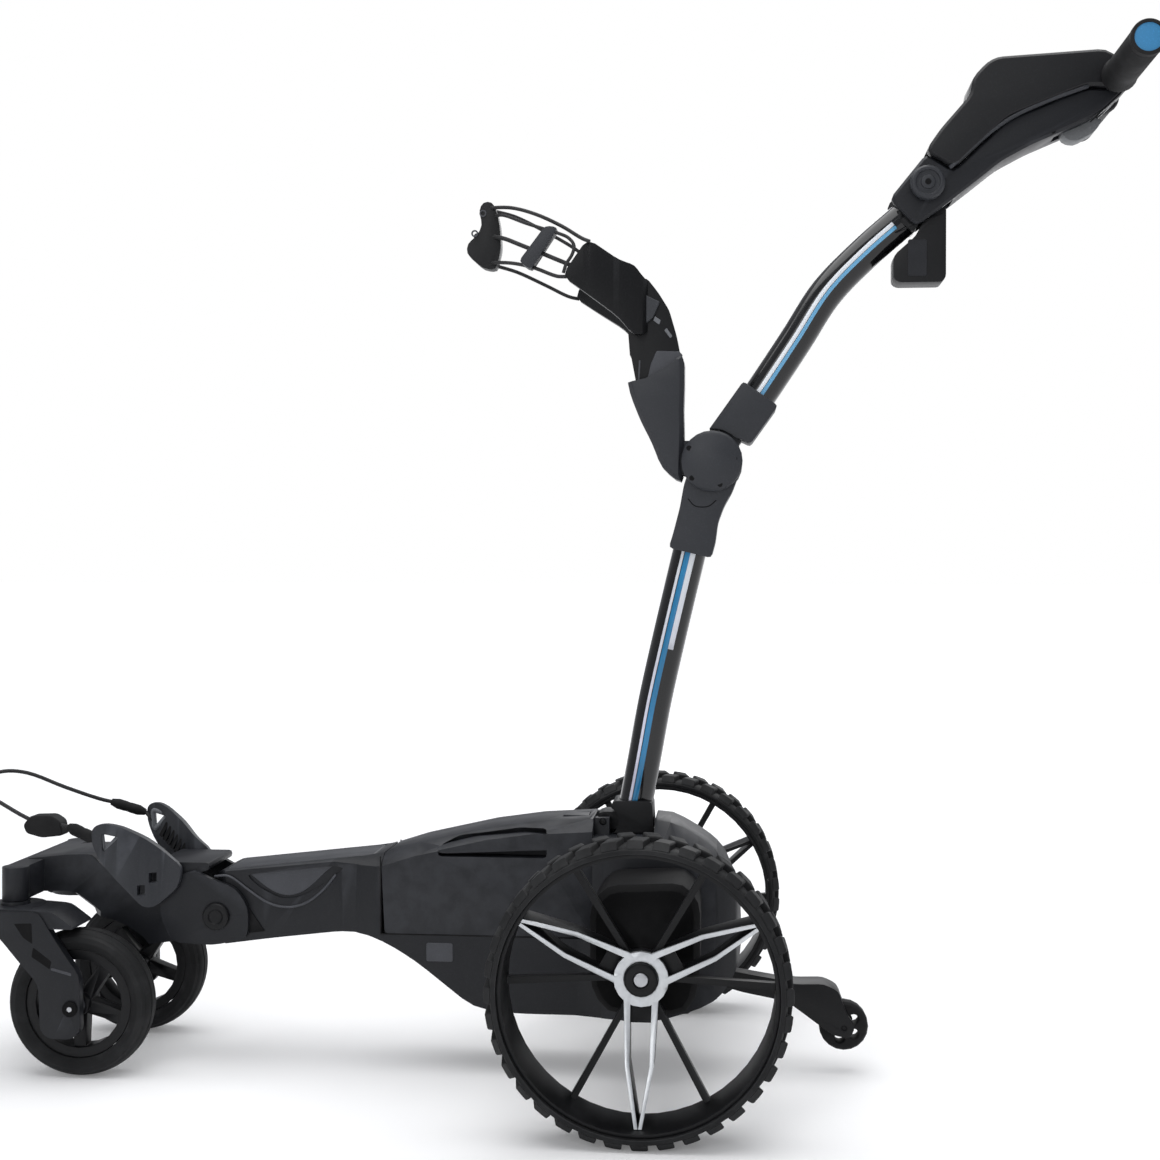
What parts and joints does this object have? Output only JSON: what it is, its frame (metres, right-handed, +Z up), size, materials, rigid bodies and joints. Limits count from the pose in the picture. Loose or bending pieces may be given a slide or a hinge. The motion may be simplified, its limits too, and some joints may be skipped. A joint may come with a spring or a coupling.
{
  "type": "electric golf trolley",
  "caption": "Folding electric golf trolley with a battery block on a low spine, large driven rear wheels, caster front wheels, a hinged mast and a cross-bar handle.",
  "frame": {"origin": "on the ground, under the middle of the bounding box of the object without its straps", "axes": "+X forwards (towards the caster wheels), +Y to the left, +Z up"},
  "size_m": [1.3958, 0.6, 1.1956],
  "materials": {
    "shell": "satin charcoal moulding",
    "satin": "satin, lighter charcoal",
    "black": "fine textured black",
    "gloss_tube": "gloss black over aluminium",
    "silver": "silver coated",
    "steel": "brushed",
    "tyre": "moulded tread",
    "grip_rubber": "soft matte",
    "cord": "woven elastic",
    "blue": "satin blue",
    "grey": "satin grey",
    "board": "circuit board"
  },
  "bodies": {
    "chassis": {"chassis_shell": "shell", "belly_cover": "black", "spine_cover": "satin", "control_board": "board", "gearmotor_left": "black", "gearmotor_right": "black", "mast_pin": "black"},
    "battery": {"battery_pack": "shell"},
    "battery_latch": {"battery_latch": "satin"},
    "rear_wheel_left": {"rear_tyre_left": "tyre", "rear_rim_left": "black", "spoke_trim_left": "silver", "drive_axle_left": "steel"},
    "rear_wheel_right": {"rear_tyre_right": "tyre", "rear_rim_right": "black", "spoke_trim_right": "silver", "drive_axle_right": "steel"},
    "hub_button_left": {"hub_button_left": "black"},
    "hub_button_right": {"hub_button_right": "black"},
    "mast_lower": {"mast_boot": "black", "lower_tube": "gloss_tube", "lower_bracket": "satin", "joint_cover_left": "satin", "joint_cover_right": "satin", "mid_pin": "steel"},
    "mast_upper": {"upper_bracket": "satin", "upper_tube": "gloss_tube", "tube_head": "black"},
    "bag_rest": {"bag_arm": "satin", "bag_cradle": "black", "upper_strap_top": "cord", "upper_strap_low": "cord", "strap_hook": "black", "strap_slider": "black"},
    "handle": {"handle_lower": "shell", "handle_upper": "black", "handle_bar": "steel", "grip_left": "grip_rubber", "grip_right": "grip_rubber", "grip_cap_left": "blue", "grip_cap_right": "blue", "accessory_box": "black", "tilt_pin": "steel"},
    "tilt_knob": {"tilt_knob": "satin"},
    "speed_trigger": {"speed_trigger": "grey"},
    "front": {"front_bracket": "shell", "fold_bolt": "black", "lower_arm_left": "satin", "lower_arm_right": "satin", "lower_strap": "cord"},
    "caster_left": {"fork_left": "shell", "front_axle_left": "steel"},
    "caster_right": {"fork_right": "shell", "front_axle_right": "steel"},
    "front_wheel_left": {"front_tyre_left": "tyre", "front_rim_left": "black"},
    "front_wheel_right": {"front_tyre_right": "tyre", "front_rim_right": "black"},
    "anti_tip": {"anti_tip_arm": "black"},
    "anti_tip_wheel": {"anti_tip_wheel": "tyre"}
  },
  "joints": [
    {"name": "mast_base_fold", "type": "hinge", "parent": "chassis", "child": "mast_lower", "pos_m": [-0.05925, 0, 0.298], "axis": [0, 1, 0], "range_deg": [0, 60]},
    {"name": "mast_mid_fold", "type": "hinge", "parent": "mast_lower", "child": "mast_upper", "pos_m": [-0.18725, 0, 0.725], "axis": [0, 1, 0], "range_deg": [-90, 0]},
    {"name": "bag_arm_fold", "type": "hinge", "parent": "mast_lower", "child": "bag_rest", "pos_m": [-0.18725, 0, 0.725], "axis": [0, 1, 0], "range_deg": [-30, 0]},
    {"name": "handle_tilt", "type": "hinge", "parent": "mast_upper", "child": "handle", "pos_m": [-0.43585, 0, 1.046], "axis": [0, 1, 0], "range_deg": [0, 25]},
    {"name": "tilt_knob_turn", "type": "hinge", "parent": "handle", "child": "tilt_knob", "pos_m": [-0.43585, 0, 1.046], "axis": [0, 1, 0], "range_deg": [-90, 0]},
    {"name": "trigger_pull", "type": "hinge", "parent": "handle", "child": "speed_trigger", "pos_m": [-0.59625, 0, 1.116], "axis": [0, 1, 0], "range_deg": [0, 8], "stiffness_Nm_per_rad": 0.5, "springref_deg": -6.88},
    {"name": "battery_lift", "type": "slide", "parent": "chassis", "child": "battery", "axis": [0, 0, -1], "range_m": [-0.15, 0]},
    {"name": "battery_latch_press", "type": "slide", "parent": "battery", "child": "battery_latch", "axis": [0, 0, -1], "range_m": [0, 0.002], "stiffness_N_per_m": 400, "springref_m": -0.002},
    {"name": "rear_wheel_left_spin", "type": "hinge", "parent": "chassis", "child": "rear_wheel_left", "pos_m": [-0.11525, 0.264, 0.16], "axis": [0, 1, 0], "continuous": true},
    {"name": "rear_wheel_right_spin", "type": "hinge", "parent": "chassis", "child": "rear_wheel_right", "pos_m": [-0.11525, -0.264, 0.16], "axis": [0, 1, 0], "continuous": true},
    {"name": "hub_button_left_press", "type": "slide", "parent": "rear_wheel_left", "child": "hub_button_left", "axis": [0, -1, 0], "range_m": [0, 0.002], "stiffness_N_per_m": 400, "springref_m": -0.002},
    {"name": "hub_button_right_press", "type": "slide", "parent": "rear_wheel_right", "child": "hub_button_right", "axis": [0, 1, 0], "range_m": [0, 0.002], "stiffness_N_per_m": 400, "springref_m": -0.002},
    {"name": "front_fold", "type": "hinge", "parent": "chassis", "child": "front", "pos_m": [0.40475, 0, 0.18], "axis": [0, 1, 0], "range_deg": [0, 100]},
    {"name": "caster_left_swivel", "type": "hinge", "parent": "front", "child": "caster_left", "pos_m": [0.63475, 0.096, 0.22], "axis": [0, 0, 1], "continuous": true},
    {"name": "caster_right_swivel", "type": "hinge", "parent": "front", "child": "caster_right", "pos_m": [0.63475, -0.096, 0.22], "axis": [0, 0, 1], "continuous": true},
    {"name": "front_wheel_left_spin", "type": "hinge", "parent": "caster_left", "child": "front_wheel_left", "pos_m": [0.55225, 0.096, 0.0865], "axis": [0, 1, 0], "continuous": true},
    {"name": "front_wheel_right_spin", "type": "hinge", "parent": "caster_right", "child": "front_wheel_right", "pos_m": [0.55225, -0.096, 0.0865], "axis": [0, 1, 0], "continuous": true},
    {"name": "anti_tip_fold", "type": "hinge", "parent": "chassis", "child": "anti_tip", "pos_m": [-0.18325, 0, 0.118], "axis": [0, 1, 0], "range_deg": [0, 35]},
    {"name": "anti_tip_spin", "type": "hinge", "parent": "anti_tip", "child": "anti_tip_wheel", "pos_m": [-0.34375, 0, 0.0564], "axis": [0, 1, 0], "continuous": true}
  ]
}
